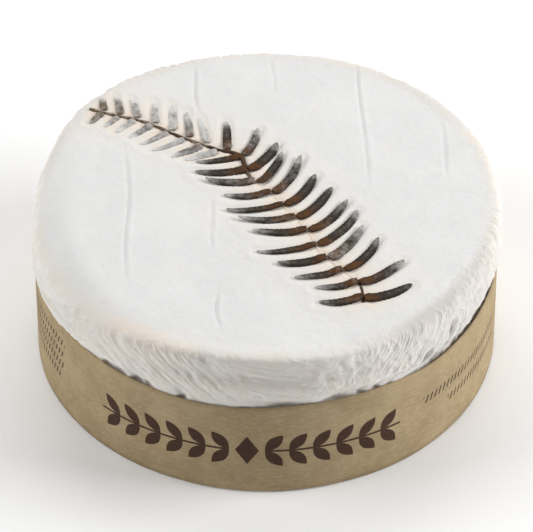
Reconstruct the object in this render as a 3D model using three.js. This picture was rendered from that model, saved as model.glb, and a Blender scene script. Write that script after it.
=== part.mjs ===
// A small soft-ripened cheese wheel in a kraft paper band, with a dried fern frond lying on its top.
// Millimetres, +Z up. The origin is the middle of the wheel's flat base, and the front faces -Y.
import * as THREE from 'three';

// ---- Driving dimensions -------------------------------------------------------------------------

const WHEEL_RADIUS = 65; // at the widest line of the wall, above the band
const WHEEL_HEIGHT = 49;
const WIDEST_HEIGHT = 38.5;
const SHOULDER_RADIUS = 4.2;
const FOOT_RADIUS = 3.4; // rounding where the wall meets the base
const WHEEL_SEGMENTS = 72;
const CURVE_POINTS = 4; // points along each rounded stretch of the section

const GAP = 0.3; // clearance between pieces that rest on each other

const PAPER_THICKNESS = 0.3;
const BAND_INNER_RADIUS = 63.2;
const BAND_FOOT = 0.5; // the paper ends just above the surface that the wheel stands on
const BAND_TOP = 31.3;
const BAND_OVERLAP = 15; // length of the glued lap at the back
const BAND_STEPS = 120;

const FROND_THICKNESS = 0.5;
const STEM_THICKNESS = 1;
const STEM_WIDTH = { tip: 0.8, base: 1 };
const STEM_STEPS = 44;
const PAIR_COUNT = 20;
const PAIR_CROWDING = 1.1; // above 1, the leaflet pairs stand closer together towards the tip
const BARE_STEM = 0.2; // stem left past the last pair, as a share of the space between pairs
const LEAFLET_WIDTH = { tip: 2, middle: 2.7 }; // full width from the middle of the frond down to its base
// Degrees that a leaflet turns towards the frond's tip from its own foot to its end.
const LEAFLET_BEND = { tip: 6, base: 28 };
const LEAFLET_STEPS = 8;

// The stem's course over the top of the wheel, from the tip by the back left rim to the cut base.
const STEM_COURSE = [
  [-49, 38.2], [-41, 34.9], [-33, 32], [-24, 26.5], [-14, 21.3], [-7.5, 18.7], [-5.8, 14.5], [-4, 9],
  [1.5, 2.5], [6.3, -5], [12, -14.5], [15, -22], [20.5, -28.5], [25, -34.5], [25.9, -41.5],
];

// Leaflet lengths in millimetres and angles from the stem in degrees, at even steps from tip to base.
// The stem's direction is taken over a stretch of it to both sides, as a share of its length. The stretch is
// longer at the left, where the stem's bend would otherwise cross the leaflets.
const LEAFLET_SIDES = {
  left: { sign: 1, lengths: [4.5, 10.5, 13.5, 15.4, 11], sweeps: [77, 54, 54, 62, 74], stretch: 0.11 },
  right: { sign: -1, lengths: [6.5, 11.5, 15.2, 18.5, 14.5], sweeps: [62, 56, 62, 67, 79], stretch: 0.065 },
};

// The wheel isn't quite round: each entry is one slow wave of the radius around the wall.
const WALL_WAVES = [
  { count: 2, depth: 0.3, peak: 90 },
  { count: 4, depth: 0.9, peak: 38 },
  { count: 5, depth: 0.4, peak: 0 },
];

// The paper's top edge rises at the left and ripples a little all round.
const EDGE_RISE = { height: 3.2, centre: -170, reach: 38 };
const EDGE_RIPPLE = { count: 6, height: 0.5, peak: -72 };

// ---- Small helpers ------------------------------------------------------------------------------

const { degToRad, radToDeg, smoothstep, lerp, clamp } = THREE.MathUtils;

// Linear blend through values that stand at even steps from 0 to 1.
function blendThrough(values, share) {
  const place = clamp(share, 0, 1) * (values.length - 1);
  const index = Math.min(Math.floor(place), values.length - 2);
  return lerp(values[index], values[index + 1], place - index);
}

// A repeatable number from -1 to 1.
function unevenness(seed) {
  const value = Math.sin(seed * 12.9898) * 43758.5453;
  return 2 * (value - Math.floor(value)) - 1;
}

function material(color, roughness) {
  return new THREE.MeshStandardMaterial({ color, roughness, metalness: 0 });
}

function namedMesh(name, geometry, surface) {
  const mesh = new THREE.Mesh(geometry, surface);
  mesh.name = name;
  return mesh;
}

// ---- Cheese wheel -------------------------------------------------------------------------------

function wallWave(angle) {
  let wave = 0;
  for (const { count, depth, peak } of WALL_WAVES) {
    wave += depth * Math.cos(count * (angle - degToRad(peak)));
  }
  return wave;
}

// Half of the wheel's section, from the middle of the base out and up to the middle of the top.
function wheelProfile() {
  const bandedRadius = BAND_INNER_RADIUS - GAP;
  const path = new THREE.Path();
  path.moveTo(0, 0);
  path.lineTo(bandedRadius - FOOT_RADIUS, 0);
  path.absarc(bandedRadius - FOOT_RADIUS, FOOT_RADIUS, FOOT_RADIUS, -Math.PI / 2, 0, false);
  path.lineTo(bandedRadius, BAND_TOP - GAP);
  const bulgeStart = new THREE.Vector2(bandedRadius + 0.6, BAND_TOP + 2);
  const bulgeEnd = new THREE.Vector2(WHEEL_RADIUS, WIDEST_HEIGHT - 4);
  path.bezierCurveTo(bulgeStart.x, bulgeStart.y, bulgeEnd.x, bulgeEnd.y, WHEEL_RADIUS, WIDEST_HEIGHT);
  const shoulderFoot = new THREE.Vector2(WHEEL_RADIUS - 0.4, WHEEL_HEIGHT - SHOULDER_RADIUS);
  path.lineTo(shoulderFoot.x, shoulderFoot.y);
  const shoulderTop = WHEEL_RADIUS - SHOULDER_RADIUS;
  path.quadraticCurveTo(shoulderFoot.x, WHEEL_HEIGHT, shoulderTop, WHEEL_HEIGHT);
  path.lineTo(0, WHEEL_HEIGHT);
  return path.getPoints(CURVE_POINTS);
}

// The band holds the wall round, and the wall swells out above the band's own uneven edge.
function cheeseWheel() {
  const geometry = new THREE.LatheGeometry(wheelProfile(), WHEEL_SEGMENTS);
  geometry.rotateX(Math.PI / 2);
  const points = geometry.attributes.position;
  for (let i = 0; i < points.count; i += 1) {
    const height = points.getZ(i);
    const radius = Math.hypot(points.getX(i), points.getY(i));
    const angle = Math.atan2(points.getY(i), points.getX(i));
    const free = smoothstep(height, BAND_TOP, WIDEST_HEIGHT);
    const lift = height < BAND_TOP - 2 * GAP ? 0 : (1 - free) * bandEdgeLift(angle);
    const stretch = 1 + (free * wallWave(angle)) / WHEEL_RADIUS;
    points.setXYZ(
      i,
      radius * stretch * Math.cos(angle),
      radius * stretch * Math.sin(angle),
      height + lift,
    );
  }
  return namedMesh('cheese_wheel', geometry, material('#e4e4e2', 0.85));
}

// ---- Paper band ---------------------------------------------------------------------------------

function bandEdgeLift(angle) {
  const fromCentre = Math.abs(((radToDeg(angle) - EDGE_RISE.centre + 540) % 360) - 180);
  const near = Math.min(fromCentre / EDGE_RISE.reach, 1);
  const rise = EDGE_RISE.height * (0.5 + 0.5 * Math.cos(Math.PI * near));
  const { count, height, peak } = EDGE_RIPPLE;
  return rise + height * Math.cos(count * (angle - degToRad(peak)));
}

// The strip runs once round from the back, then steps out over its own start to make the lap.
function bandOutline() {
  const lapAngle = BAND_OVERLAP / BAND_INNER_RADIUS;
  const sweep = 2 * Math.PI + lapAngle;
  const startAngle = Math.PI / 2 - lapAngle / 2;
  const inner = [];
  const outer = [];
  for (let i = 0; i <= BAND_STEPS; i += 1) {
    const turned = (sweep * i) / BAND_STEPS;
    const angle = startAngle + turned;
    const steppedOut = smoothstep(turned, 2 * Math.PI - 2.5 * lapAngle, 2 * Math.PI - 0.5 * lapAngle);
    const radius = BAND_INNER_RADIUS + steppedOut * (PAPER_THICKNESS + GAP);
    const direction = new THREE.Vector2(Math.cos(angle), Math.sin(angle));
    inner.push(direction.clone().multiplyScalar(radius));
    outer.push(direction.clone().multiplyScalar(radius + PAPER_THICKNESS));
  }
  return new THREE.Shape([...outer, ...inner.reverse()]);
}

function paperBand() {
  const height = BAND_TOP - BAND_FOOT;
  const geometry = new THREE.ExtrudeGeometry(bandOutline(), { depth: height, bevelEnabled: false });
  const points = geometry.attributes.position;
  for (let i = 0; i < points.count; i += 1) {
    if (points.getZ(i) > height / 2) {
      const angle = Math.atan2(points.getY(i), points.getX(i));
      points.setZ(i, height + bandEdgeLift(angle));
    }
  }
  const band = namedMesh('paper_band', geometry, material('#8c7657', 0.9));
  band.position.z = BAND_FOOT;
  return band;
}

// ---- Fern frond ---------------------------------------------------------------------------------

const stemCurve = new THREE.CatmullRomCurve3(STEM_COURSE.map(([x, y]) => new THREE.Vector3(x, y, 0)));

function headingToTip(share, stretch) {
  const ahead = stemCurve.getPointAt(Math.max(share - stretch, 0));
  const behind = stemCurve.getPointAt(Math.min(share + stretch, 1));
  return Math.atan2(ahead.y - behind.y, ahead.x - behind.x);
}

function stemWidth(share) {
  return lerp(STEM_WIDTH.tip, STEM_WIDTH.base, share);
}

function frondStem() {
  const leftEdge = [];
  const rightEdge = [];
  for (let i = 0; i <= STEM_STEPS; i += 1) {
    const share = i / STEM_STEPS;
    const centre = stemCurve.getPointAt(share);
    const along = stemCurve.getTangentAt(share);
    const half = stemWidth(share) / 2;
    leftEdge.push(new THREE.Vector2(centre.x + along.y * half, centre.y - along.x * half));
    rightEdge.push(new THREE.Vector2(centre.x - along.y * half, centre.y + along.x * half));
  }
  const outline = new THREE.Shape([...leftEdge, ...rightEdge.reverse()]);
  const geometry = new THREE.ExtrudeGeometry(outline, { depth: STEM_THICKNESS, bevelEnabled: false });
  const stem = namedMesh('frond_stem', geometry, material('#51361f', 0.8));
  stem.position.z = WHEEL_HEIGHT + GAP;
  return stem;
}

// A narrow strip along +X with its foot at the origin and a blunt end, bowed to the side that bow points to.
function leafletGeometry(length, width, bow) {
  const leftEdge = [];
  const rightEdge = [];
  for (let i = 0; i <= LEAFLET_STEPS; i += 1) {
    const share = i / LEAFLET_STEPS;
    const middle = 4 * bow * share * (1 - share);
    const half = 0.5 * width * Math.sqrt(1 - 0.95 * share ** 5);
    leftEdge.push(new THREE.Vector2(share * length, middle + half));
    rightEdge.push(new THREE.Vector2(share * length, middle - half));
  }
  const outline = new THREE.Shape([...rightEdge, ...leftEdge.reverse()]);
  return new THREE.ExtrudeGeometry(outline, { depth: FROND_THICKNESS, bevelEnabled: false });
}

function leaflet(sideName, pair) {
  const { sign, lengths, sweeps, stretch } = LEAFLET_SIDES[sideName];
  const share = (pair / (PAIR_COUNT + BARE_STEM)) ** PAIR_CROWDING;
  const seed = pair + (sign > 0 ? 0 : 50);
  const sweep = degToRad(blendThrough(sweeps, share) + 3 * unevenness(seed + 200));
  const heading = headingToTip(share, stretch) + sign * sweep;
  const width = lerp(LEAFLET_WIDTH.tip, LEAFLET_WIDTH.middle, Math.min(2 * share, 1));
  const stemDirection = stemCurve.getTangentAt(share);
  const slant = Math.abs(Math.sin(heading - Math.atan2(stemDirection.y, stemDirection.x)));
  const clearance = (stemWidth(share) / 2 + GAP + width * 0.4) / slant;
  const length = blendThrough(lengths, share) * (1 + 0.1 * unevenness(seed)) - clearance;
  const bend = degToRad(lerp(LEAFLET_BEND.tip, LEAFLET_BEND.base, smoothstep(share, 0.3, 0.5)));
  const bow = (sign * length * Math.tan(bend / 4)) / 2;

  const foot = stemCurve.getPointAt(share);
  const name = `frond_leaflet_${sideName}_${String(pair).padStart(2, '0')}`;
  const blade = namedMesh(name, leafletGeometry(length, width, bow), material('#423c33', 0.85));
  blade.position.set(
    foot.x + clearance * Math.cos(heading),
    foot.y + clearance * Math.sin(heading),
    WHEEL_HEIGHT + GAP,
  );
  blade.rotation.z = heading;
  return blade;
}

function fernFrond() {
  const frond = new THREE.Group();
  frond.add(frondStem());
  for (const sideName of Object.keys(LEAFLET_SIDES)) {
    for (let pair = 1; pair <= PAIR_COUNT; pair += 1) {
      frond.add(leaflet(sideName, pair));
    }
  }
  return frond;
}

// ---- Assembly -----------------------------------------------------------------------------------

const bandedCheese = new THREE.Group();
bandedCheese.add(cheeseWheel(), paperBand(), fernFrond());

export default bandedCheese;
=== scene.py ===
"""Looks of a bloomy-rind cheese wheel in a kraft paper band, with a dried fern frond lying on its top.

Lengths are millimetres in the frame of the CAD model, +Z up and the front towards -Y, and angles are
degrees counted from +X towards +Y. They become metres and radians where a mesh or the camera is made.
"""

import itertools
import math

import bpy
import numpy as np
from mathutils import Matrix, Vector
from mathutils.bvhtree import BVHTree


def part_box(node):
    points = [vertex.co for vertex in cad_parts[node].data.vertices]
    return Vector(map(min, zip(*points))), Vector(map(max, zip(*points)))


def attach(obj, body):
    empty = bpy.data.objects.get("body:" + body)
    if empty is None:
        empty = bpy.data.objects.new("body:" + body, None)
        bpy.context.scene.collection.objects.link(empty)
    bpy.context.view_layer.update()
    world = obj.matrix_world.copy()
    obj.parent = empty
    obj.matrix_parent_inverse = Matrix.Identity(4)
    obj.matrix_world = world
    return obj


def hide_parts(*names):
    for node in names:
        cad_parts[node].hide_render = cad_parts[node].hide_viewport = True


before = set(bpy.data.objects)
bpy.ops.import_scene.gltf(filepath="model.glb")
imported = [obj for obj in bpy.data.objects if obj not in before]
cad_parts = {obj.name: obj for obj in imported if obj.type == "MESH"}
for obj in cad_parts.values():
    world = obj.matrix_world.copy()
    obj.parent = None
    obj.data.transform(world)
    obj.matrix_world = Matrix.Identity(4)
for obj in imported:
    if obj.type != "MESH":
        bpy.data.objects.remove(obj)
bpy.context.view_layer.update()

MM = 0.001

# ---- Driving dimensions, as in the CAD model -----------------------------------------------------

WHEEL_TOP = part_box("cheese_wheel")[1].z / MM
BAND_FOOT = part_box("paper_band")[0].z / MM
WHEEL_RADIUS = 65.0
WIDEST_HEIGHT = 38.5
SHOULDER_RADIUS = 4.2
FOOT_RADIUS = 3.4
BAND_INNER_RADIUS = 63.2
BAND_TOP = 31.3
BAND_OVERLAP = 15.0
PAPER_THICKNESS = 0.3
GAP = 0.3
STEM_COURSE = [
    (-49, 38.2), (-41, 34.9), (-33, 32), (-24, 26.5), (-14, 21.3), (-7.5, 18.7), (-5.8, 14.5), (-4, 9),
    (1.5, 2.5), (6.3, -5), (12, -14.5), (15, -22), (20.5, -28.5), (25, -34.5), (25.9, -41.5),
]
STEM_WIDTH = (0.8, 1.0)  # at the tip and at the cut base
LEAFLET_END = 0.3  # how deep a CAD leaflet's blunt end is
LEAFLET_BEND = (6, 28)  # from a leaflet's foot to its end, at the frond's tip and at its base
LEAFLET_WIDTH = (2.0, 2.7)
WALL_WAVES = [(2, 0.3, 90), (4, 0.9, 38), (5, 0.4, 0)]  # waves round the wall, depth, angle of a peak
EDGE_RISE = {"height": 3.2, "centre": -170, "reach": 38}
EDGE_RIPPLE = {"count": 6, "height": 0.5, "peak": -72}

# ---- Fineness of the meshes ----------------------------------------------------------------------

TOP_CELLS = 216  # along each side of the square grid that covers the top
RING_POINTS = 4 * TOP_CELLS
SHOULDER_ROWS = 12
WALL_ROWS = 25
HIDDEN_ROWS = 5
FOOT_ROWS = 3
BAND_COLUMNS = 640
BAND_ROWS = 16
STEM_STATIONS = 150
LEAFLET_STATIONS = 30


# ---- Small helpers -------------------------------------------------------------------------------

def smoothstep(value, low, high):
    share = np.clip((value - low) / (high - low), 0, 1)
    return share * share * (3 - 2 * share)


def hump(value, centre, reach):
    """A smooth bump of height 1 at centre."""
    return np.exp(-((value - centre) / reach) ** 2)


def around(angle):
    """Unit vectors from the wheel's axis outwards, at angles in degrees."""
    return np.stack([np.cos(np.radians(angle)), np.sin(np.radians(angle))], axis=-1)


def turn_between(angle, centre):
    """How far angle is from centre round the circle, from -180 to 180."""
    return (angle - centre + 540) % 360 - 180


def near(angle, zone):
    """A smooth bump of height 1 in the middle of a zone round the wheel."""
    return hump(turn_between(angle, zone["centre"]), 0, zone["reach"])


def from_axis(points):
    return np.hypot(points[:, 0], points[:, 1])


def rolling_mean(values, reach):
    """Each value's mean with as many neighbours on each side as reach says."""
    span = 2 * reach + 1
    return np.convolve(np.pad(values, reach, mode="edge"), np.ones(span) / span, mode="valid")


def add_object(name, data):
    made = bpy.data.objects.new(name, data)
    bpy.context.scene.collection.objects.link(made)
    return made


class Noise:
    """Smooth seeded noise in space, from about -1 to 1."""

    def __init__(self, seed):
        draw = np.random.default_rng(seed)
        self.order = np.tile(draw.permutation(256), 3)
        slopes = draw.normal(size=(256, 3))
        self.slopes = slopes / np.linalg.norm(slopes, axis=1, keepdims=True)

    def __call__(self, points):
        cell = np.floor(points).astype(int)
        local = points - cell
        eased = local**3 * (local * (local * 6 - 15) + 10)
        cell = cell & 255
        total = np.zeros(len(points))
        for corner in itertools.product((0, 1), repeat=3):
            x, y, z = (cell[:, axis] + corner[axis] for axis in range(3))
            slope = self.slopes[self.order[self.order[self.order[x] + y] + z] & 255]
            weight = np.prod(np.where(corner, eased, 1 - eased), axis=1)
            total += weight * ((local - corner) * slope).sum(axis=1)
        return 1.7 * total


# ---- Meshes from grids ---------------------------------------------------------------------------

class Mesh:
    """Collects grids of points into one mesh, with a flat layout of each grid for baked colours."""

    def __init__(self):
        self.points = []
        self.count = 0
        self.faces = []
        self.layouts = []

    def add_points(self, points):
        """Adds an array of points and returns their numbers, in the array's shape."""
        shape = points.shape[:-1]
        flat = points.reshape(-1, 3)
        numbers = np.arange(self.count, self.count + len(flat)).reshape(shape)
        self.points.append(flat)
        self.count += len(flat)
        return numbers

    def add_grid(self, numbers, layout, flip=False):
        """Adds the quads between rows and columns of points, which layout places on the sheet."""
        corners = [(slice(None, -1), slice(None, -1)), (slice(1, None), slice(None, -1)),
                   (slice(1, None), slice(1, None)), (slice(None, -1), slice(1, None))]
        if flip:
            corners.reverse()
        self.faces += np.stack([numbers[c] for c in corners], axis=-1).reshape(-1, 4).tolist()
        self.layouts.append(np.stack([layout[c] for c in corners], axis=-2).reshape(-1, 2))

    def add_fan(self, ring, middle, ring_layout, middle_layout):
        """Closes a ring of points, whose last is its first again, with triangles to a middle."""
        for start in range(len(ring) - 1):
            self.faces.append([ring[start], middle, ring[start + 1]])
            self.layouts.append(np.array([ring_layout[start], middle_layout, ring_layout[start + 1]]))

    def build(self, name, sheet_size, attributes=None):
        points = np.concatenate(self.points)
        data = bpy.data.meshes.new(name)
        data.from_pydata((points * MM).tolist(), [], self.faces)
        places = np.concatenate(self.layouts) / sheet_size
        uv_layer = data.uv_layers.new(name="OFBake")
        uv_layer.data.foreach_set("uv", places.astype(np.float32).ravel())
        data.shade_smooth()
        for key, values in (attributes or {}).items():
            kind, field = ("FLOAT", "value") if values.ndim == 1 else ("FLOAT_VECTOR", "vector")
            layer = data.attributes.new(key, kind, "POINT")
            layer.data.foreach_set(field, values.astype(np.float32).ravel())
        data.update()
        return add_object(name, data)


def sheet_grid(rows, columns, left, bottom, width, height):
    """Even places on a layout sheet for a grid of so many rows and columns of points."""
    x = np.linspace(left, left + width, columns)
    y = np.linspace(bottom, bottom + height, rows)
    return np.stack(np.broadcast_arrays(x[None, :], y[:, None]), axis=-1)


def sheet_strip(numbers, place, part):
    """Even places for one of several strips; place is their left, bottom, pitch, width and height."""
    left, bottom, pitch, width, height = place
    return sheet_grid(*numbers.shape, left, bottom + pitch * part, width, height)


def settle(piece, surface, node):
    """Gives the piece its material, and lets it stand for its CAD node on the one body."""
    piece.data.materials.append(surface)
    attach(piece, "root")
    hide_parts(node)


# ---- Shapes that the wheel and the band share ----------------------------------------------------

def wall_wave(angle):
    return sum(depth * np.cos(np.radians(count * (angle - peak))) for count, depth, peak in WALL_WAVES)


def edge_lift(angle):
    """How far the paper's top edge stands above its usual height."""
    away = np.minimum(np.abs(turn_between(angle, EDGE_RISE["centre"])) / EDGE_RISE["reach"], 1)
    rise = EDGE_RISE["height"] * (0.5 + 0.5 * np.cos(np.pi * away))
    ripple = np.cos(np.radians(EDGE_RIPPLE["count"] * (angle - EDGE_RIPPLE["peak"])))
    return rise + EDGE_RIPPLE["height"] * ripple


# ---- Frond layout --------------------------------------------------------------------------------

def stem_line(stations):
    """Evenly spaced points along the stem from tip to base, on a curve through STEM_COURSE."""
    course = np.array(STEM_COURSE, float)
    ends = np.vstack([2 * course[0] - course[1], course, 2 * course[-1] - course[-2]])
    dense = []
    for before, start, end, after in zip(ends, ends[1:], ends[2:], ends[3:]):
        t = np.linspace(0, 1, 40, endpoint=False)[:, None]
        pull = (end - before) * t + (2 * before - 5 * start + 4 * end - after) * t**2
        dense.append(start + 0.5 * (pull + (3 * start - before - 3 * end + after) * t**3))
    dense = np.vstack([*dense, course[-1:]])
    travelled = np.concatenate([[0], np.cumsum(np.linalg.norm(np.diff(dense, axis=0), axis=1))])
    wanted = np.linspace(0, travelled[-1], stations)
    return np.stack([np.interp(wanted, travelled, dense[:, axis]) for axis in range(2)], axis=1)


STEM = stem_line(STEM_STATIONS)


def leaflet_nodes():
    return sorted(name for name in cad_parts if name.startswith("frond_leaflet"))


def leaflet_course(node):
    """Foot, tip, width and bow of a CAD leaflet, seen from above, and how far along the stem it grows."""
    corners = np.array([corner.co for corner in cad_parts[node].data.vertices])[:, :2] / MM
    middle = corners.mean(axis=0)
    along = np.linalg.svd(corners - middle, full_matrices=False)[2][0]
    reach = (corners - middle) @ along
    ends = [corners[reach < reach.min() + LEAFLET_END], corners[reach > reach.max() - LEAFLET_END]]
    ends = [end.mean(axis=0) for end in ends]
    gaps = [np.linalg.norm(STEM - end, axis=1) for end in ends]
    foot = int(np.min(gaps[1]) < np.min(gaps[0]))
    share = int(np.argmin(gaps[foot])) / (STEM_STATIONS - 1)
    way = ends[1 - foot] - ends[foot]
    side = np.array([-way[1], way[0]])
    bend = math.radians(np.interp(smoothstep(share, 0.3, 0.5), (0, 1), LEAFLET_BEND))
    bow = side * math.tan(bend / 4) / 2 * (1 if "_left_" in node else -1)
    width = np.interp(share, (0, 0.5), LEAFLET_WIDTH)
    return {"foot": ends[foot], "way": way, "bow": bow, "width": width, "share": share}


LEAFLETS = {node: leaflet_course(node) for node in leaflet_nodes()}


def stem_distance(points):
    return np.linalg.norm(points[:, None, :2] - STEM[None, ::3], axis=2).min(axis=1)


def leaflet_line(leaf, share):
    """Points along a leaflet's bowed middle line, at shares of the way from its foot to its end."""
    share = np.asarray(share)[:, None]
    return leaf["foot"] + leaf["way"] * share + 4 * leaf["bow"] * share * (1 - share)


def frond_distance(points):
    """How far each point of the top lies from the nearest leaflet or stem, seen from above."""
    nearest = stem_distance(points) - 0.7
    for leaf in LEAFLETS.values():
        way = leaf["way"]
        share = np.clip((points[:, :2] - leaf["foot"]) @ way / (way @ way), 0, 1)
        gap = np.linalg.norm(points[:, :2] - leaflet_line(leaf, share), axis=1)
        nearest = np.minimum(nearest, gap - 0.45 * leaf["width"])
    return np.maximum(nearest, 0)


# ---- Cheese wheel --------------------------------------------------------------------------------

MAT_PITCH = 4.0  # between the threads of the mat that the wheel drained on

# Faint folds that a cloth pressed into the top: from point, to point, depth. They run front to back.
TOP_CREASES = [
    ((-39.6, 22), (-35.9, -34), 0.33),
    ((-20.6, 56), (-18.3, 36), 0.308),
    ((-15.4, 0), (-13.9, -20), 0.22),
    ((-13.2, -38), (-12.6, -52), 0.275),
    ((1.7, 60), (1.9, 46), 0.176),
    ((25.8, 58), (27.6, 6), 0.286),
    ((47.8, 33), (50.4, 8), 0.242),
]

# The shoulder is lower and rounder at the left.
SOFT_SHOULDER = {"drop": 4.5, "centre": -160, "reach": 34}

# In front the shoulder is a crisp edge, with a shallow hollow in the wall below it.
CRISP_SHOULDER = {"centre": -84, "reach": 32, "out": 0.8, "hollow": 0.55}

# A cream patch on the shoulder, left of the front.
CREAM_PATCH = {"centre": -121, "reach": 15, "radius": 61.5}

# Where the wall's folds lean: middle angle, reach, lean from level, size across a fold and depth.
WALL_FOLDS = [
    (-150, 19, 12, 2.2, 0.6),
    (-116, 16, -46, 2.1, 0.65),
    (-86, 12, -12, 2.6, 0.45),
    (-50, 14, 52, 2.4, 0.7),
    (-10, 14, 83, 2.3, 1.0),
    (40, 30, 75, 1.8, 0.75),
    (120, 28, -60, 1.7, 0.7),
]

# Where the rind is crumpled into a fine net of creases, over the shoulder and the wall at the right.
CRUMPLED = {"centre": -38, "reach": 24}

# Short places in front where the paper's edge stands off the rind: middle angle and reach. A long one is
# at the right. The rind draws in over some height above and below the edge.
PAPER_GAPS = [(-86, 4), (-73, 2.5), (-120, 2)]
RIGHT_GAP = {"centre": -14, "reach": 24}
GAP_HEIGHT = 4.2

# Upright slits in the rind at the right: angle, height, half width in degrees, half height and share of
# the full depth.
SLITS = [
    (-49, 35.5, 0.8, 2.6, 0.6),
    (-43.5, 34, 0.9, 3.6, 1.0),
    (-40.5, 40, 0.8, 2.6, 0.8),
    (-38, 35.5, 0.8, 3.2, 0.9),
    (-30, 33, 0.9, 3.0, 0.8),
]
SLIT_LEAN = 0.3  # degrees a millimetre
SLIT_DEPTH = 1.5

BASE_RINGS = [0.93, 0.8, 0.6, 0.4, 0.2, 0.05]  # shares of the base's radius

# Where the faces lie on the square layout sheet. The wall and the hidden rows behind the paper are cut
# into strips: left, bottom, pitch, width and height.
WHEEL_SHEET = {
    "side": 202, "top_middle": 62,
    "strips": 3, "wall": (0, 126, 25, 137, 24), "hidden": (126, 0, 14, 72, 13),
    "base_middle": (170, 160), "base_scale": 0.45,
}


def crease_relief(points):
    """A narrow groove with a soft ridge beside it along each crease."""
    relief = np.zeros(len(points))
    for start, end, depth in TOP_CREASES:
        start, way = np.array(start), np.array(end) - start
        length = np.hypot(*way)
        way = way / length
        offset = points[:, :2] - start
        along = (offset @ way) / length
        bend = 0.5 * np.sin(4.5 * along + start[0])
        across = offset @ np.array([-way[1], way[0]]) + bend
        fade = smoothstep(along, -0.05, 0.15) * (1 - smoothstep(along, 0.8, 1.08))
        groove = hump(across, 0, 0.45) - 0.6 * hump(across, 0.95, 0.6)
        relief -= depth * fade * groove
    return relief


def wheel_profile():
    """Radius, height and outward slope of the wall's rows, from the rim of the top down to the base."""
    banded = BAND_INNER_RADIUS - GAP
    share = np.linspace(0, 1, SHOULDER_ROWS + 1)
    top_edge, shoulder = WHEEL_RADIUS - SHOULDER_RADIUS, WHEEL_RADIUS - 0.3
    radius = [(1 - share) ** 2 * top_edge + (1 - (1 - share) ** 2) * shoulder]
    height = [WHEEL_TOP - SHOULDER_RADIUS * share**2]
    share = np.linspace(0, 1, WALL_ROWS + 1)[1:]
    start, end = WHEEL_TOP - SHOULDER_RADIUS, BAND_TOP - GAP
    wall = start + (end - start) * share
    swell = smoothstep(wall, end - 0.5, WIDEST_HEIGHT)
    radius.append(banded + (WHEEL_RADIUS - banded) * swell - 0.3 * smoothstep(wall, WIDEST_HEIGHT, start))
    height.append(wall)
    height.append(np.linspace(end, FOOT_RADIUS, HIDDEN_ROWS + 1)[1:])
    radius.append(np.full(HIDDEN_ROWS, banded))
    turn = np.linspace(0, np.pi / 2, FOOT_ROWS + 1)[1:]
    radius.append(banded - FOOT_RADIUS * (1 - np.cos(turn)))
    height.append(FOOT_RADIUS * (1 - np.sin(turn)))
    radius, height = np.concatenate(radius), np.concatenate(height)
    slope = np.stack([-np.gradient(height), np.gradient(radius)], axis=1)
    return radius, height, slope / np.linalg.norm(slope, axis=1, keepdims=True)


def disc_grid(radius):
    """A square grid squeezed evenly onto a disc, so that its border is a ring of evenly spaced points."""
    steps = np.linspace(-1, 1, TOP_CELLS + 1)
    a, b = np.meshgrid(steps, steps, indexing="ij")
    wide = np.abs(a) >= np.abs(b)
    reach = np.where(wide, a, b)
    other = np.where(wide, b, a) / np.where(reach == 0, 1, reach)
    turn = np.where(wide, np.pi / 4 * other, np.pi / 2 - np.pi / 4 * other)
    return radius * reach * np.cos(turn), radius * reach * np.sin(turn)


def border_of(numbers):
    """The numbers round a square grid's border, from the corner at -135 degrees towards +Y."""
    return np.concatenate([numbers[:-1, 0], numbers[-1, :-1], numbers[:0:-1, -1], numbers[0, :0:-1]])


def fold_field(points, angle, fold):
    """Each point's place along and across one zone's folds, and how strongly they show there."""
    centre, reach, lean = fold[:3]
    turned = turn_between(angle, centre)
    round_wall = np.stack([np.radians(turned) * WHEEL_RADIUS, points[:, 2]], axis=1)
    cosine, sine = math.cos(math.radians(lean)), math.sin(math.radians(lean))
    return round_wall @ (cosine, sine), round_wall @ (-sine, cosine), hump(turned, 0, reach)


def wall_share(points):
    """1 on the bare wall between the paper and the shoulder, 0 on the top and behind the paper."""
    upper = smoothstep(points[:, 2], BAND_TOP - 3, BAND_TOP + 2)
    return smoothstep(from_axis(points), WHEEL_RADIUS - 3.6, WHEEL_RADIUS - 0.6) * upper


def crisp_edge(points, angle):
    """How far the front's crisp shoulder stands out, and the wall below it draws in."""
    edge = CRISP_SHOULDER["out"] * hump(points[:, 2], WHEEL_TOP - 0.9, 1.1)
    edge *= smoothstep(from_axis(points), WHEEL_RADIUS - 6, WHEEL_RADIUS - 3)
    edge -= CRISP_SHOULDER["hollow"] * hump(points[:, 2], WHEEL_TOP - 7, 2.2)
    return edge * near(angle, CRISP_SHOULDER)


def wheel_relief(points, normals, angle):
    """How far the rind stands out from the plain shape: swellings, bloom, folds and wrinkles."""
    upper = smoothstep(points[:, 2], BAND_TOP - 3, BAND_TOP + 2)
    top = smoothstep(normals[:, 2], 0.2, 0.9)

    swelling = 0.30 * Noise(1)(points / 26) + 0.16 * Noise(2)(points / 10)
    bloom = 0.06 * Noise(3)(points / 3.4) + 0.035 * Noise(4)(points / 1.6)

    crumple = 0.5 - np.abs(Noise(6)(points / (3.6, 3.6, 3.0)))
    fine = 0.5 - np.abs(Noise(7)(points / 1.7))
    net = near(angle, CRUMPLED)
    wrinkles = (1 + 0.9 * net) * (0.6 * crumple + 0.32 * fine) + 0.3 * Noise(8)(points / (7, 7, 4))
    for seed, fold in enumerate(WALL_FOLDS):
        along, across, share = fold_field(points, angle, fold)
        size, depth = fold[3:]
        field = np.stack([along / (8 * size), across / size, np.full_like(along, seed)], axis=1)
        folds = depth * (0.5 - np.abs(Noise(30 + seed)(field)) * 1.6)
        wrinkles += share * (folds - 0.45 * wrinkles)
    strength = 0.9 + 0.35 * Noise(9)(points / 20)
    wrinkles *= strength * wall_share(points)
    return upper * (swelling + bloom) + wrinkles + crisp_edge(points, angle) + top * crease_relief(points)


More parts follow.
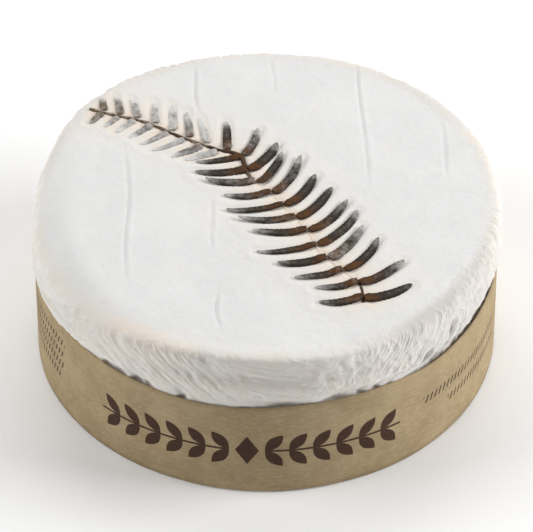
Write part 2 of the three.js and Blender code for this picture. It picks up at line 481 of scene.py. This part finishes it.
def band_gap(angle):
    """How far the rind draws in from the paper's top edge: in places all round, and most at the right."""
    ring = np.column_stack([around(angle), np.zeros_like(angle)])
    uneven = smoothstep(Noise(10)(ring * 7) + 0.5 * Noise(11)(ring * 22), 0.1, 0.7)
    at_right = near(angle, RIGHT_GAP)
    in_front = sum(hump(turn_between(angle, centre), 0, reach) for centre, reach in PAPER_GAPS)
    notches = smoothstep(Noise(12)(ring * 26), -0.2, 0.4)
    return 1.1 * uneven + 0.8 * in_front + at_right * (1.2 + 1.8 * notches) - 0.1


def slit_share(points, angle):
    """How deep each point lies in the slits, up to 1."""
    share = np.zeros(len(points))
    for centre, height, width, reach, depth in SLITS:
        leant = turn_between(angle, centre) - SLIT_LEAN * (points[:, 2] - height)
        share += depth * hump(leant, 0, width) * hump(points[:, 2], height, reach)
    return share


def plain_wheel(mesh):
    """Adds the plain wheel's points, and returns the numbers of those on each face, and all normals."""
    radius, height, slope = wheel_profile()
    x, y = disc_grid(radius[0])
    top = mesh.add_points(np.stack([x, y, np.full_like(x, WHEEL_TOP)], axis=-1))
    ring = around(np.linspace(-135, 225, RING_POINTS, endpoint=False))

    def ring_rows(radii, heights):
        rows = np.empty((len(radii), RING_POINTS, 3))
        rows[..., :2] = radii[:, None, None] * ring
        rows[..., 2] = heights[:, None]
        return mesh.add_points(rows)

    wall = np.vstack([border_of(top), ring_rows(radius[1:], height[1:])])
    base_radii = radius[-1] * np.array(BASE_RINGS)
    base = np.vstack([wall[-1:], ring_rows(base_radii, np.zeros(len(base_radii)))])
    middle = mesh.add_points(np.zeros((1, 3)))

    normals = np.zeros((mesh.count, 3))
    normals[top.ravel(), 2] = 1
    normals[wall[1:], :2] = slope[1:, None, :1] * ring
    normals[wall[1:], 2] = slope[1:, 1:]
    normals[base[1:].ravel(), 2] = -1
    normals[middle, 2] = -1
    return {"top": top, "wall": wall, "base": base, "middle": int(middle[0])}, normals


def frond_marks(points, top):
    """How deep the frond is pressed into the top at each point, and how strongly it stains the rind."""
    under = points[top]
    nearness = frond_distance(under)
    imprint, stain = np.zeros(len(points)), np.zeros(len(points))
    imprint[top] = 0.09 * hump(nearness, 1.6, 1.1) - 0.24 * (1 - smoothstep(nearness, 0.1, 1.0))
    stain[top] = np.exp(-nearness / 4) * (0.2 + 0.8 * hump(stem_distance(under), 0, 7.5))
    return imprint, stain


def cream_patch(points, angle):
    patch = 0.6 * near(angle, CREAM_PATCH)
    shoulder = hump(from_axis(points), CREAM_PATCH["radius"], 3)
    return patch * shoulder * (points[:, 2] > WIDEST_HEIGHT)


def rind_marks(points, normals, angle):
    """What the rind's material needs to know of each point of the plain wheel, apart from the frond."""
    # crumpled also sets how much painted shade the wall's colour gets at the right.
    crumpled = 0.4 + 0.6 * near(angle, CRUMPLED)
    crumpled *= smoothstep(from_axis(points), WHEEL_RADIUS - 9, WHEEL_RADIUS - 3)
    marks = {"crumpled": crumpled, "underside": (normals[:, 2] < -0.5).astype(float)}
    for order, fold in enumerate(WALL_FOLDS):
        along, across, share = fold_field(points, angle, fold)
        marks[f"folds_{order}"] = np.stack([along, across, share * wall_share(points)], axis=1)
    return marks


def bend_wheel(points, angle, slits):
    """Gives the plain wheel its real outline: its waves, its low shoulder and its dents at the paper."""
    drop = SOFT_SHOULDER["drop"] * near(angle, SOFT_SHOULDER)
    upper = smoothstep(points[:, 2], WIDEST_HEIGHT - 2, WHEEL_TOP - 2)
    drop *= smoothstep(from_axis(points), WHEEL_RADIUS - 13, WHEEL_RADIUS) ** 1.5 * upper
    free = smoothstep(points[:, 2], BAND_TOP, WIDEST_HEIGHT)
    lift = np.where(points[:, 2] < BAND_TOP - 2 * GAP, 0, (1 - free) * edge_lift(angle))
    stretch = 1 + free * wall_wave(angle) / WHEEL_RADIUS
    drawn_in = band_gap(angle) * hump(points[:, 2], BAND_TOP, GAP_HEIGHT) + SLIT_DEPTH * slits
    points[:, :2] *= (stretch - drawn_in / WHEEL_RADIUS)[:, None]
    points[:, 2] += lift - drop


def add_wheel_faces(mesh, numbers, points):
    """Adds the wheel's faces, with most of the layout sheet for the ones that show."""
    top, wall, base = numbers["top"], numbers["wall"], numbers["base"]
    mesh.add_grid(top, points[top, :2] + WHEEL_SHEET["top_middle"])
    shown = SHOULDER_ROWS + WALL_ROWS + 1
    zones = ((wall[:shown], "wall"), (wall[shown - 1:], "hidden"))
    length = RING_POINTS // WHEEL_SHEET["strips"]
    for part in range(WHEEL_SHEET["strips"]):
        columns = np.arange(part * length, (part + 1) * length + 1) % RING_POINTS
        for rows, place in zones:
            strip = rows[:, columns]
            mesh.add_grid(strip, sheet_strip(strip, WHEEL_SHEET[place], part))
    columns = np.arange(RING_POINTS + 1) % RING_POINTS
    middle = WHEEL_SHEET["base_middle"]
    disc = points[base[:, columns], :2] * WHEEL_SHEET["base_scale"] + middle
    mesh.add_grid(base[:, columns], disc)
    mesh.add_fan(base[-1, columns].tolist(), numbers["middle"], disc[-1], middle)


def build_wheel():
    mesh = Mesh()
    numbers, normals = plain_wheel(mesh)
    points = np.concatenate(mesh.points)
    angle = np.degrees(np.arctan2(points[:, 1], points[:, 0]))
    relief = wheel_relief(points, normals, angle)
    imprint, stain = frond_marks(points, numbers["top"].ravel())
    slits = slit_share(points, angle)
    marks = rind_marks(points, normals, angle)
    marks["stain"] = np.maximum(stain, cream_patch(points, angle))
    marks["relief"] = relief
    marks["slits"] = slits

    bend_wheel(points, angle, slits)
    points += normals * (relief + imprint)[:, None]
    mesh.points = [points]
    marks["side"] = smoothstep(from_axis(points), WHEEL_RADIUS - 6, WHEEL_RADIUS - 2)
    add_wheel_faces(mesh, numbers, points)
    return mesh, mesh.build("cheese_wheel_rind", WHEEL_SHEET["side"], marks)


# ---- Paper band ----------------------------------------------------------------------------------

# Strips of the band's layout sheet: left, bottom, pitch, width and height.
BAND_SHEET = {
    "side": 141, "strips": 4, "outside": (0, 0, 35, 104, 34), "inside": (106, 0, 11, 34, 10),
    "edges": (106, 60, 4, 34, 2),
}
WAVE_RADIUS = 63.0  # where the paper's waves are read from the noise


def band_faces():
    """Points of the strip's inner and outer face, row by row from its foot, and each column's angle."""
    lap = math.degrees(BAND_OVERLAP / BAND_INNER_RADIUS)
    turned = np.linspace(0, 360 + lap, BAND_COLUMNS + 1)
    angle = 90 - lap / 2 + turned
    stepped = smoothstep(turned, 360 - 2.5 * lap, 360 - 0.5 * lap) * (PAPER_THICKNESS + GAP)
    up = np.linspace(0, 1, BAND_ROWS + 1)[:, None]
    height = BAND_FOOT + up * (BAND_TOP - BAND_FOOT + edge_lift(angle))

    ring = np.empty((*height.shape, 3))
    ring[..., :2] = WAVE_RADIUS * around(angle)
    ring[..., 2] = height
    ring = ring.reshape(-1, 3)
    buckle = Noise(20)(ring / (14, 14, 40)).reshape(height.shape)
    curl = Noise(21)(ring / (20, 20, 60)).reshape(height.shape)
    radius = BAND_INNER_RADIUS + stepped + 0.12 * buckle + 0.25 * np.maximum(curl, 0) * up**3

    inner = np.empty((*height.shape, 3))
    inner[..., :2] = radius[..., None] * around(angle)
    inner[..., 2] = height
    outer = inner.copy()
    outer[..., :2] += PAPER_THICKNESS * around(angle)
    return inner, outer, angle


def build_band():
    inner, outer, angle = band_faces()
    mesh = Mesh()
    outside = mesh.add_points(outer)
    inside = mesh.add_points(inner)
    length = BAND_COLUMNS // BAND_SHEET["strips"]
    for part in range(BAND_SHEET["strips"]):
        columns = slice(part * length, (part + 1) * length + 1)
        for face, place, flip in ((outside, "outside", True), (inside, "inside", False)):
            strip = face[:, columns]
            mesh.add_grid(strip, sheet_strip(strip, BAND_SHEET[place], part), flip)

    edges = [(outside[0], inside[0], False), (outside[-1], inside[-1], True),
             (outside[:, 0], inside[:, 0], True), (outside[:, -1], inside[:, -1], False)]
    for part, (outer_edge, inner_edge, flip) in enumerate(edges):
        rim = np.vstack([outer_edge, inner_edge])
        mesh.add_grid(rim, sheet_strip(rim, BAND_SHEET["edges"], part), flip)

    along = np.broadcast_to(np.radians(angle - 270) * BAND_INNER_RADIUS, outside.shape)
    marks = {
        "along_mm": np.tile(along.ravel(), 2),
        "up_mm": np.tile(inner[..., 2].ravel(), 2),
        "printed": np.repeat([1.0, 0.0], outside.size),
    }
    return mesh.build("kraft_paper_band", BAND_SHEET["side"], marks)


# ---- Frond ---------------------------------------------------------------------------------------

TOOTH_PITCH = 1.4  # along a leaflet's edge


class Rind:
    """Finds the height of the finished rind under any point of the top."""

    def __init__(self, mesh):
        points = np.concatenate(mesh.points)
        self.tree = BVHTree.FromPolygons(points.tolist(), mesh.faces)

    def height(self, x, y):
        hit = self.tree.ray_cast(Vector((x, y, WHEEL_TOP + 20)), Vector((0, 0, -1)))[0]
        return hit.z if hit else WHEEL_TOP


def mould_cover(share):
    """How far the rind's mould has grown over the frond: most towards its tip, hardly at its base."""
    share = np.asarray(share, float)
    grown_over = smoothstep(share, 0.03, 0.1) * (1 - smoothstep(share, 0.3, 0.42))
    return 0.06 + 0.2 * hump(share, 0, 0.05) + 0.46 * grown_over


def tube(mesh, centres, sideways, half_width, thickness, crown):
    """Adds a closed flattened tube along centres; crown is its section, as places across and heights."""
    across, rise = crown
    sections = np.empty((len(centres), len(across), 3))
    sections[:] = centres[:, None]
    sections += sideways[:, None] * (across[None] * half_width[:, None])[..., None]
    sections[..., 2] += rise[None] * thickness[:, None]
    numbers = mesh.add_points(sections)
    closed = np.hstack([numbers, numbers[:, :1]])
    mesh.add_grid(closed, sheet_grid(*closed.shape, 0.06, 0, 0.94, 1))
    for row, flip, bottom in ((0, True, 0), (-1, False, 0.1)):
        half = len(across) // 2
        strip = np.vstack([numbers[row, :half], numbers[row, :half - 1:-1]])
        mesh.add_grid(strip, sheet_grid(2, half, 0, bottom, 0.05, 0.05), flip=flip)
    return numbers


def blade_crown(columns):
    """A thin dried leaf's section: a domed top with a sunk midrib, and a hollow underside."""
    across = np.linspace(-1, 1, columns)
    dome = np.sqrt(1 - 0.98 * across**2)
    top = 0.25 + 0.85 * dome - 0.4 * hump(across, 0, 0.2)
    return np.concatenate([across, across[::-1]]), np.concatenate([top, 0.6 * dome - 0.55])


def tip_share(share):
    """1 at the young, olive tip of the frond, 0 a little way along."""
    return hump(share, 0, 0.07)


def leaflet_widths(leaf, along, draw, bluntness):
    """Half widths of a leaflet: drawn in at its foot, toothed, and rounded off at its end."""
    share = np.maximum(along, 0)
    overlap = -along[0]
    outline = np.sqrt(1 - 0.97 * share**draw.uniform(*bluntness))
    outline = outline * (1 - 0.25 * hump(along, -overlap, 0.5 * overlap))
    teeth = share * np.hypot(*leaf["way"]) * 2 * np.pi / TOOTH_PITCH
    teeth = 1 + 0.06 * np.sin(teeth + draw.random() * 6)
    return 0.5 * leaf["width"] * draw.uniform(0.92, 1.12) * outline * teeth


def build_leaflet(node, rind, order):
    leaf = LEAFLETS[node]
    draw = np.random.default_rng(100 + order)
    length = np.hypot(*leaf["way"])
    overlap = (1.7 if leaf["share"] > 0.36 else 1.0) / length
    along = np.linspace(-overlap, 1, LEAFLET_STATIONS)
    share = np.maximum(along, 0)
    side = np.array([-leaf["way"][1], leaf["way"][0]]) / length
    wander = 0.22 * np.sin(share * (3 + draw.random() * 4) + draw.random() * 6) * share
    line = leaflet_line(leaf, along) + side * wander[:, None]
    bluntness = (1.8, 3.2) if "_left_" in node else (2.6, 5)
    half_width = leaflet_widths(leaf, along, draw, bluntness)
    thickness = 0.34 * (1 - 0.45 * share**2)

    buried = float(mould_cover(leaf["share"]))
    raised = draw.random() * 0.8 * share**3 * (leaf["share"] > 0.38)
    over_stem = 0.35 * (1 - smoothstep(along, 0, 0.16))
    ground = rolling_mean([rind.height(*spot) for spot in line], 3)
    centres = np.column_stack([line, ground + 0.22 - 0.4 * buried + raised + over_stem])
    tilt = (draw.random() - 0.5) * 0.4
    sideways = np.tile([side[0], side[1], tilt], (LEAFLET_STATIONS, 1))

    mesh = Mesh()
    crown = blade_crown(11)
    numbers = tube(mesh, centres, sideways, half_width, thickness, crown)
    ends = 0.4 * smoothstep(share, 0.5, 1) + 0.1 * draw.normal()
    attributes = {
        "along": np.repeat(share, numbers.shape[1]),
        "across": np.tile(crown[0], LEAFLET_STATIONS),
        "mould": np.repeat(buried + ends, numbers.shape[1]),
        "young": np.full(numbers.size, tip_share(leaf["share"])),
    }
    return mesh.build(node.replace("leaflet", "pinna"), 1, attributes)


def build_stem(rind):
    way = np.gradient(STEM, axis=0)
    way /= np.linalg.norm(way, axis=1, keepdims=True)
    share = np.linspace(0, 1, STEM_STATIONS)
    half_width = 0.5 * (STEM_WIDTH[0] + (STEM_WIDTH[1] - STEM_WIDTH[0]) * share)
    knots = 0.2 * np.sin(share * 140) * (share < 0.42)
    half_width = half_width * (1.05 + knots + 0.5 * hump(share, 0.42, 0.05))
    ground = rolling_mean([rind.height(*spot) for spot in STEM], 4)
    sunk = 0.42 * smoothstep(share, 0.44, 0.52)
    centres = np.column_stack([STEM, ground + 0.1 - sunk])
    sideways = np.column_stack([-way[:, 1], way[:, 0], np.zeros(STEM_STATIONS)])
    turn = np.linspace(np.pi, -np.pi, 12, endpoint=False) - np.pi / 12

    mesh = Mesh()
    numbers = tube(mesh, centres, sideways, half_width, half_width, (np.cos(turn), np.sin(turn)))
    grown_over = smoothstep(share, 0.44, 0.54) * (1 - smoothstep(share, 0.9, 0.94))
    mould = 0.22 * (1 - smoothstep(share, 0.3, 0.36)) + grown_over
    attributes = {
        "along": np.repeat(share, numbers.shape[1]),
        "across": np.tile(np.cos(turn), STEM_STATIONS),
        "mould": np.repeat(mould, numbers.shape[1]),
        "young": np.repeat(tip_share(share), numbers.shape[1]),
    }
    return mesh.build("frond_rachis", 1, attributes)


# ---- Materials -----------------------------------------------------------------------------------

class Shader:
    """One material's nodes. A value that a call takes is a number, a colour or a node's socket."""

    def __init__(self, name, **settings):
        self.material = bpy.data.materials.new(name)
        self.material.use_nodes = True
        self.tree = self.material.node_tree
        self.surface = self.tree.nodes["Principled BSDF"]
        self.place = self.node("ShaderNodeTexCoord").outputs["Object"]
        for socket, value in settings.items():
            self.surface.inputs[socket.replace("_", " ")].default_value = value

    def node(self, kind, **settings):
        made = self.tree.nodes.new(kind)
        for key, value in settings.items():
            setattr(made, key, value)
        return made

    def feed(self, socket, value):
        if isinstance(value, bpy.types.NodeSocket):
            self.tree.links.new(value, socket)
        elif isinstance(value, tuple) and len(value) == 3 and socket.type == "RGBA":
            socket.default_value = (*value, 1)
        else:
            socket.default_value = value

    def attribute(self, name):
        return self.node("ShaderNodeAttribute", attribute_name=name).outputs["Fac"]

    def math(self, operation, *values, clamp=False):
        made = self.node("ShaderNodeMath", operation=operation, use_clamp=clamp)
        for socket, value in zip(made.inputs, values):
            self.feed(socket, value)
        return made.outputs[0]

    def plus(self, *values):
        return self.math("ADD", *values)

    def minus(self, *values):
        return self.math("SUBTRACT", *values)

    def times(self, *values):
        return self.math("MULTIPLY", *values)

    def size(self, value):
        return self.math("ABSOLUTE", value)

    def larger(self, *values):
        return self.math("MAXIMUM", *values)

    def smaller(self, *values):
        return self.math("MINIMUM", *values)

    def noise(self, size, detail=2.0, stretch=None, roughness=0.55, distortion=0.0, place=None):
        """Noise whose blotches are about size millimetres across, pulled out along axes by stretch.

        It fills the space of the object, or that of another place given in millimetres.
        """
        unit = 1 if place else MM
        place = place or self.place
        if stretch:
            mapping = self.node("ShaderNodeMapping")
            self.feed(mapping.inputs["Vector"], place)
            self.feed(mapping.inputs["Scale"], tuple(1 / pull for pull in stretch))
            place = mapping.outputs[0]
        made = self.node("ShaderNodeTexNoise")
        self.feed(made.inputs["Vector"], place)
        for socket, value in (("Scale", 1 / (size * unit)), ("Detail", detail),
                              ("Roughness", roughness), ("Distortion", distortion)):
            self.feed(made.inputs[socket], value)
        return made.outputs["Fac"]

    def ridges(self, noise):
        """Thin crests, 1 high, where the noise passes its middle, with rounded hollows between them."""
        return self.between(self.size(self.minus(noise, 0.5)), 0, 0.1, 1, 0)

    def mat_print(self):
        """The weave of the mat that the wheel drained on, pressed into its underside."""
        parts = self.node("ShaderNodeSeparateXYZ")
        self.feed(parts.inputs[0], self.place)
        waves = [self.math("SINE", self.times(parts.outputs[axis], math.pi / (MAT_PITCH * MM)))
                 for axis in "XY"]
        weave = self.size(self.times(*waves))
        return self.times(weave, self.attribute("underside"))

    def between(self, value, low, high, start=0.0, end=1.0):
        """start where value is at most low, end where it is at least high, and even between."""
        made = self.node("ShaderNodeMapRange", interpolation_type="SMOOTHSTEP")
        for socket, number in zip(made.inputs, (value, low, high, start, end)):
            self.feed(socket, number)
        return made.outputs[0]

    def mix(self, share, first, second, blend="MIX"):
        made = self.node("ShaderNodeMix", data_type="RGBA", blend_type=blend)
        self.feed(made.inputs[0], share)
        self.feed(made.inputs[6], first)
        self.feed(made.inputs[7], second)
        return made.outputs[2]

    def bump(self, height, depth, below=None):
        """Bends the surface by height times depth millimetres, over an earlier bump if one is given."""
        made = self.node("ShaderNodeBump")
        self.feed(made.inputs["Distance"], depth * MM)
        self.feed(made.inputs["Height"], height)
        if below:
            self.feed(made.inputs["Normal"], below)
        return made.outputs[0]

    def finish(self, colour, roughness, normal):
        self.feed(self.surface.inputs["Base Color"], colour)
        self.feed(self.surface.inputs["Roughness"], roughness)
        self.feed(self.surface.inputs["Normal"], normal)
        return self.material


def rind_creases(make, crumpled):
    """Fine wrinkles: folds that follow each zone of the wall, and a net where the rind is crumpled."""
    folds = 0
    for order in range(len(WALL_FOLDS)):
        field = make.node("ShaderNodeAttribute", attribute_name=f"folds_{order}").outputs["Vector"]
        strength = make.node("ShaderNodeSeparateXYZ")
        make.feed(strength.inputs[0], field)
        ridges = make.ridges(make.noise(1, 1.5, stretch=(16, 1.9, 1000), place=field))
        folds = make.math("MULTIPLY_ADD", ridges, strength.outputs["Z"], folds)
    net = make.times(make.ridges(make.noise(6.5, 1.5, distortion=0.8)), crumpled)
    return make.plus(folds, net)


def rind_colour(make, crumpled):
    """White bloom, warmer on the wall, with painted shade in the wall's hollows and on its crumpled part
    at the right, painted shade in the slits, and stained beside the frond.
    """
    pale, cool, warm = (0.83, 0.825, 0.81), (0.80, 0.80, 0.79), (0.83, 0.775, 0.705)
    colour = make.mix(make.between(make.noise(16, 3), 0.4, 0.68), cool, pale)
    dull = make.between(make.noise(4.5, 4, roughness=0.7), 0.52, 0.75, 0, 0.5)
    colour = make.mix(dull, colour, (0.76, 0.76, 0.75))
    side = make.attribute("side")
    patches = make.between(make.noise(11, 3), 0.35, 0.62, 0.45, 1)
    colour = make.mix(make.times(side, patches), colour, warm)

    # Painted shade: the wall is coloured darker in its hollows, most where it is crumpled, and greyer all
    # over where it is crumpled at the right.
    hollow = make.between(make.attribute("relief"), -0.25, 0.25, 1, 0)
    depth = make.between(crumpled, 0.4, 1, 0.35, 0.85)
    shade_and_pale_middle = make.times(make.times(hollow, side), depth)
    colour = make.mix(shade_and_pale_middle, colour, (0.66, 0.61, 0.56))
    shaded = make.times(make.between(crumpled, 0.4, 1, 0, 0.85), side)
    colour = make.mix(shaded, colour, (0.60, 0.575, 0.55))
    # Painted shade: the slits are coloured dark.
    slits = make.between(make.attribute("slits"), 0.1, 0.75, 0, 0.85)
    colour = make.mix(slits, colour, (0.20, 0.16, 0.13))
    stain = make.times(make.attribute("stain"), make.between(make.noise(4, 3), 0.3, 0.6, 0.6, 1))
    return make.mix(stain, colour, (0.87, 0.735, 0.60))


def rind_material():
    make = Shader("bloomy_rind", Sheen_Weight=0.25, Sheen_Roughness=0.6, Subsurface_Weight=0.25,
                  Subsurface_Scale=0.0015, Subsurface_Radius=(1.0, 0.75, 0.55))
    crumpled = make.attribute("crumpled")
    creases = rind_creases(make, crumpled)
    colour = rind_colour(make, crumpled)
    colour = make.mix(make.between(creases, 0.0, 1.0, 0, 0.25), colour, (0.86, 0.83, 0.80))
    rough = make.between(make.noise(5, 3), 0.3, 0.7, 0.72, 0.92)
    normal = make.bump(make.noise(2.2, 4, roughness=0.65), 0.22)
    normal = make.bump(creases, 0.16, normal)
    normal = make.bump(make.mat_print(), 0.9, normal)
    normal = make.bump(make.noise(0.5, 3, roughness=0.7), 0.08, normal)
    return make.finish(colour, rough, normal)


# The print is plain ornament: paired leaves on a stalk either side of a lozenge, and rows of slanted
# ticks. Rows run from one place to another along the strip, at a height.
PRINT = {
    "centre": -5, "height": 15.6, "reach": 43, "pitch": 6.4, "leaf": 7.4, "half_leaf": 1.75, "lean": 50,
    "stalk": 0.36, "lozenge": 3.2, "lozenge_room": 1.6, "lozenge_slope": 0.62,
}
TICK = {"pitch": 1.7, "half_width": 0.3, "half_height": 1.25, "slant": 0.35}
TICK_ROWS = [
    (46, 86, 18.5), (56, 86, 12.8),
    (-90, -65, 25), (-89, -66, 20.8), (-90, -66, 16.6), (-88, -68, 12.4),
]
TICK_START = 200  # beyond the strip's start, so that ticks are counted from there without negative places


def garland(make, along, up):
    """Above 0 on the paired leaves, their stalk and the lozenge."""
    off = make.size(make.minus(up, PRINT["height"]))
    out = make.size(make.minus(along, PRINT["centre"]))
    start = PRINT["lozenge"] + PRINT["lozenge_room"]
    step = make.math("MODULO", make.minus(out, start), PRINT["pitch"])
    sine, cosine = math.sin(math.radians(PRINT["lean"])), math.cos(math.radians(PRINT["lean"]))
    inked = make.minus(PRINT["stalk"], off)

    # Each leaf starts on the stalk, so the leaf of the step before may still reach into this one.
    half_length = PRINT["leaf"] / 2
    for shift in (0, PRINT["pitch"]):
        foot = make.plus(step, shift)
        lengthwise = make.plus(make.times(foot, cosine), make.times(off, sine))
        across = make.minus(make.times(off, cosine), make.times(foot, sine))
        middle = make.math("DIVIDE", make.minus(lengthwise, half_length), half_length)
        room = make.minus(1, make.math("POWER", make.size(middle), 2))
        room = make.times(room, PRINT["half_leaf"])
        inked = make.larger(inked, make.minus(room, make.size(across)))
    inked = make.smaller(inked, make.smaller(make.minus(out, start), make.minus(PRINT["reach"], out)))
    slanted = make.plus(out, make.times(off, PRINT["lozenge_slope"]))
    return make.larger(inked, make.minus(PRINT["lozenge"], slanted))


def tick_row(make, along, up, row):
    """Above 0 on one row's slanted ticks."""
    left, right, height = row
    lift = make.minus(up, height)
    leaning = make.plus(make.minus(along, make.times(lift, TICK["slant"])), TICK_START)
    nearest = make.math("MODULO", leaning, TICK["pitch"])
    nearest = make.size(make.minus(nearest, TICK["pitch"] / 2))
    tick = make.smaller(make.minus(TICK["half_width"], nearest),
                        make.minus(TICK["half_height"], make.size(lift)))
    return make.smaller(tick, make.smaller(make.minus(along, left), make.minus(right, along)))


def band_print(make):
    """1 where the paper is printed and 0 where it is bare, from the place along and up the strip."""
    along, up = make.attribute("along_mm"), make.attribute("up_mm")
    inked = garland(make, along, up)
    for row in TICK_ROWS:
        inked = make.larger(inked, tick_row(make, along, up, row))
    rough_edge = make.between(make.noise(0.5, 2), 0, 1, -0.09, 0.09)
    printed = make.between(make.plus(inked, rough_edge), -0.05, 0.05)
    return make.times(printed, make.attribute("printed"))


def paper_material():
    make = Shader("kraft_paper", Specular_IOR_Level=0.15)
    tone = make.between(make.noise(12, 3), 0.35, 0.65)
    colour = make.mix(tone, (0.365, 0.274, 0.155), (0.43, 0.329, 0.192))
    fibres = make.between(make.noise(0.7, 3, stretch=(3, 3, 1), roughness=0.7), 0.42, 0.72)
    colour = make.mix(make.times(fibres, 0.35), colour, (0.60, 0.49, 0.34))
    specks = make.between(make.noise(0.45, 2, roughness=0.8), 0.66, 0.74)
    colour = make.mix(make.times(specks, 0.5), colour, (0.24, 0.165, 0.09))
    faded = make.between(make.noise(1.2, 3), 0.3, 0.7)
    ink = make.mix(faded, (0.036, 0.012, 0.007), (0.056, 0.021, 0.013))
    printed = band_print(make)
    colour = make.mix(make.times(printed, 0.95), colour, ink)
    rough = make.between(printed, 0, 1, 0.85, 0.6)
    normal = make.bump(make.noise(9, 2, stretch=(1, 1, 3)), 0.35)
    normal = make.bump(make.noise(0.6, 3, stretch=(3, 3, 1)), 0.06, normal)
    return make.finish(colour, rough, normal)


def leaf_material(name, dark, brown, brown_until, mould):
    """A dried leaf or stem: brown from its foot up to a share of its length, then dark, under mould."""
    make = Shader(name, Specular_IOR_Level=0.3)
    along, across = make.attribute("along"), make.attribute("across")
    uneven = make.plus(along, make.between(make.noise(3, 3), 0.2, 0.8, -0.2, 0.2))
    colour = make.mix(make.between(uneven, brown_until - 0.15, brown_until + 0.2), brown, dark)
    patchy = make.between(make.noise(1.6, 4, roughness=0.7), 0.4, 0.62)
    colour = make.mix(make.times(patchy, 0.65), colour, dark)
    # Paler and mottled along the middle, away from the foot.
    middle = make.between(make.size(across), 0.1, 0.65, 1, 0)
    shade_and_pale_middle = make.between(make.noise(1.1, 4, roughness=0.75), 0.4, 0.65, 0.1, 0.75)
    shade_and_pale_middle = make.times(make.times(middle, shade_and_pale_middle), make.between(along, 0.1, 0.5))
    colour = make.mix(shade_and_pale_middle, colour, (0.13, 0.108, 0.085))
    colour = make.mix(make.times(make.attribute("young"), 0.85), colour, (0.17, 0.125, 0.05))
    margin = make.between(make.size(across), 0.5, 1.0)
    colour = make.mix(make.times(margin, 0.6), colour, (0.014, 0.010, 0.008))
    blotches = make.between(make.noise(2.2, 4), 0.2, 0.8, -0.2, 0.2)
    cover = make.between(make.plus(make.attribute("mould"), blotches), 0.05, 0.95)
    colour = make.mix(cover, colour, mould)
    rough = make.between(cover, 0, 1, 0.8, 0.95)
    normal = make.bump(make.noise(0.9, 4, roughness=0.7), 0.3)
    return make.finish(colour, rough, normal)


# ---- Studio --------------------------------------------------------------------------------------

# A long lens straight at the front. Its lens and sensor are in millimetres, its shift in sensor widths.
CAMERA = {"elevation": 42.1, "distance": 1200, "lens": 294.2, "sensor": 36, "shift": 0.0013}

# Soft square lamps: place and size in metres, and power.
LAMPS = {
    "right": ((1.08, -0.03, 0.54), 0.6, 12),
    "left": ((-1.1, -0.05, 0.62), 0.7, 8.3),
    "back": ((0.0, 0.75, 1.15), 0.9, 6.8),
}
FLOOR_REACH = 6  # metres


def place_camera():
    elevation = math.radians(CAMERA["elevation"])
    target = Vector((0, 0, WHEEL_TOP / 2))
    back = Vector((0, -math.cos(elevation), math.sin(elevation)))
    data = bpy.data.cameras.new("camera")
    data.sensor_width = CAMERA["sensor"]
    data.lens = CAMERA["lens"]
    data.shift_x = CAMERA["shift"]
    data.clip_start, data.clip_end = 0.05, 50
    camera = add_object("camera", data)
    camera.location = (target + back * CAMERA["distance"]) * MM
    camera.rotation_euler = (-back).to_track_quat("-Z", "Y").to_euler()
    bpy.context.scene.camera = camera


def light_studio():
    for name, (place, size, power) in LAMPS.items():
        data = bpy.data.lights.new(name, "AREA")
        data.shape = "SQUARE"
        data.size = size
        data.energy = power
        light = add_object(name, data)
        light.location = place
        light.rotation_euler = (-Vector(place)).to_track_quat("-Z", "Y").to_euler()
    world = bpy.data.worlds.new("studio")
    world.use_nodes = True
    background = world.node_tree.nodes["Background"]
    background.inputs["Color"].default_value = (1, 1, 1, 1)
    background.inputs["Strength"].default_value = 0.15
    bpy.context.scene.world = world
    bpy.context.scene.view_settings.view_transform = "Standard"


def lay_floor():
    data = bpy.data.meshes.new("floor")
    corners = [(x * FLOOR_REACH, y * FLOOR_REACH, 0) for x, y in ((-1, -1), (1, -1), (1, 1), (-1, 1))]
    data.from_pydata(corners, [], [(0, 1, 2, 3)])
    floor = add_object("floor", data)
    make = Shader("floor", Base_Color=(0.9, 0.9, 0.9, 1), Roughness=0.9,
                  Emission_Color=(1, 1, 1, 1), Emission_Strength=0.12)
    data.materials.append(make.material)


# ---- Assembly ------------------------------------------------------------------------------------

place_camera()
light_studio()
lay_floor()

wheel_mesh, wheel = build_wheel()
settle(wheel, rind_material(), "cheese_wheel")
settle(build_band(), paper_material(), "paper_band")
rind = Rind(wheel_mesh)
leaflet_surface = leaf_material(
    "dried_leaflet", dark=(0.034, 0.025, 0.018), brown=(0.115, 0.044, 0.008), brown_until=0.2,
    mould=(0.74, 0.725, 0.70))
stem_surface = leaf_material(
    "dried_stem", dark=(0.075, 0.036, 0.014), brown=(0.10, 0.052, 0.024), brown_until=0.3,
    mould=(0.84, 0.73, 0.62))
for order, node in enumerate(LEAFLETS):
    settle(build_leaflet(node, rind, order), leaflet_surface, node)
settle(build_stem(rind), stem_surface, "frond_stem")
